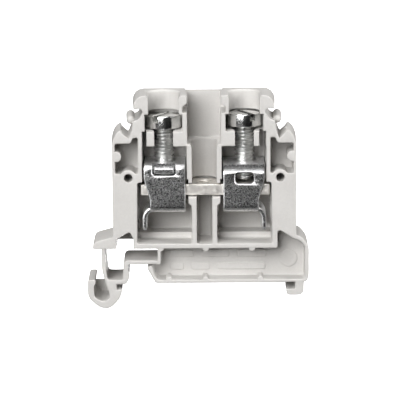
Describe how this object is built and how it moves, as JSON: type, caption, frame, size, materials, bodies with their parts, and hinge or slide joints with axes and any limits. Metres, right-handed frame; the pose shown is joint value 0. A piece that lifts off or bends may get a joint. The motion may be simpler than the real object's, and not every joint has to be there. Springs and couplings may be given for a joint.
{
  "type": "din rail terminal block",
  "caption": "Feed-through screw terminal block that clips on a 35 mm top-hat rail, open on one side, with clamp cages and screws on a conductor bar",
  "frame": {"origin": "The middle of the rail seat: the flat underside of the foot, halfway between the block's two faces.", "axes": "+X runs along the wires, from the latch side to the fixed hook's side. +Y runs along the rail, from the open side to the closed back. +Z points away from the rail, towards the screwdriver openings."},
  "size_m": [0.0436, 0.01, 0.0424],
  "materials": {
    "housing_plastic": "light warm grey moulded polyamide, fine matt mould texture",
    "bar_metal": "tin-plated copper alloy, dull silvery, with a sheared and slightly crinkled edge",
    "cage_metal": "zinc-plated steel strip, speckled, bright at the bends",
    "screw_metal": "bright zinc-plated steel, semi-gloss"
  },
  "bodies": {
    "housing": {"housing": "housing_plastic", "conductor_bar": "bar_metal"},
    "latch": {"rail_latch": "housing_plastic"},
    "screw_left": {"clamp_screw_left": "screw_metal"},
    "screw_right": {"clamp_screw_right": "screw_metal"},
    "cage_left": {"clamp_cage_left": "cage_metal"},
    "cage_right": {"clamp_cage_right": "cage_metal"}
  },
  "joints": [
    {"name": "latch_flex", "type": "hinge", "parent": "housing", "child": "latch", "pos_m": [-0.01994, 0, 0.0067], "axis": [0, 1, 0], "range_deg": [0, 8], "stiffness_Nm_per_rad": 0.6},
    {"name": "screw_left_turn", "type": "hinge", "parent": "housing", "child": "screw_left", "pos_m": [-0.00788, -0.0003, 0.025], "axis": [0, 0, -1], "range_deg": [-710, 1170]},
    {"name": "screw_right_turn", "type": "hinge", "parent": "housing", "child": "screw_right", "pos_m": [0.00788, -0.0003, 0.025], "axis": [0, 0, -1], "range_deg": [-710, 1170]},
    {"name": "cage_left_slide", "type": "slide", "parent": "housing", "child": "cage_left", "axis": [0, 0, 1], "range_m": [-0.00138, 0.00227]},
    {"name": "cage_right_slide", "type": "slide", "parent": "housing", "child": "cage_right", "axis": [0, 0, 1], "range_m": [-0.00138, 0.00227]}
  ],
  "couplings": [
    {"joint": "screw_left_turn", "follows": "cage_left_slide", "rad_per_m": 8976},
    {"joint": "screw_right_turn", "follows": "cage_right_slide", "rad_per_m": 8976}
  ]
}
